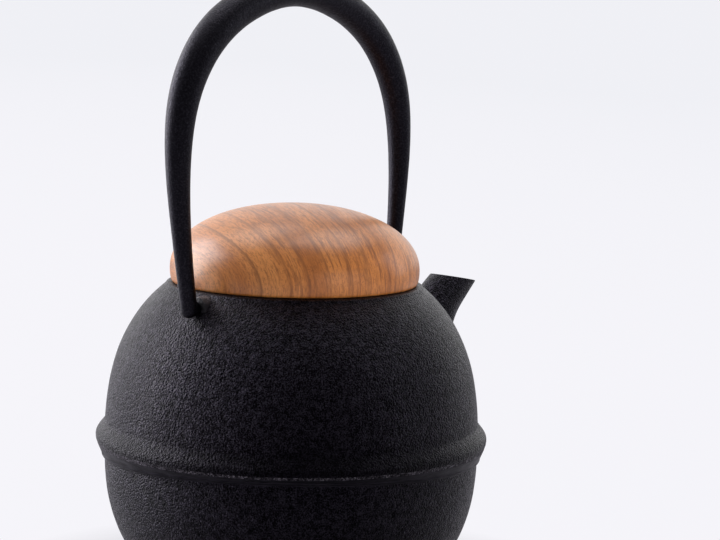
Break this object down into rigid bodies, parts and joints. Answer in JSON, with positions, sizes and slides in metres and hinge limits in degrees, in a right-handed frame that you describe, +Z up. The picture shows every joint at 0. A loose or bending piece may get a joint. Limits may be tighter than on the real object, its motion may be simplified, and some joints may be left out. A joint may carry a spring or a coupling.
{
  "type": "teapot",
  "caption": "Round ribbed cast-iron teapot with a side spout, a tall swing handle, a domed wooden lid that lifts off and a lift-out steel strainer.",
  "frame": {"origin": "centre of the flat disc that the pot stands on", "axes": "+Z up, +X towards the spout; the handle's pin axis runs along X"},
  "size_m": [0.196, 0.1574, 0.2488],
  "materials": {
    "iron": "rough matt black casting",
    "handle_coating": "fine matt black coating",
    "wood": "satin oiled",
    "silicone": "matt translucent",
    "steel": "brushed stainless"
  },
  "bodies": {
    "pot": {"pot_body": "iron", "spout": "iron", "lug_rear": "iron", "lug_front": "iron"},
    "handle": {"handle": "handle_coating"},
    "strainer": {"strainer_rim": "steel", "strainer_wall": "steel", "strainer_floor": "steel", "strainer_band": "steel"},
    "lid": {"lid_dome": "wood", "lid_seal": "silicone", "lid_plate": "steel", "lid_screws": "steel"}
  },
  "joints": [
    {"name": "handle_swing", "type": "hinge", "parent": "pot", "child": "handle", "pos_m": [0, 0, 0.1206], "axis": [1, 0, 0], "range_deg": [-101, 103]},
    {"name": "strainer_lift", "type": "slide", "parent": "pot", "child": "strainer", "axis": [0, 0, 1], "range_m": [0, 0.03]},
    {"name": "lid_lift", "type": "slide", "parent": "strainer", "child": "lid", "axis": [0, 0, 1], "range_m": [0, 0.04]}
  ]
}
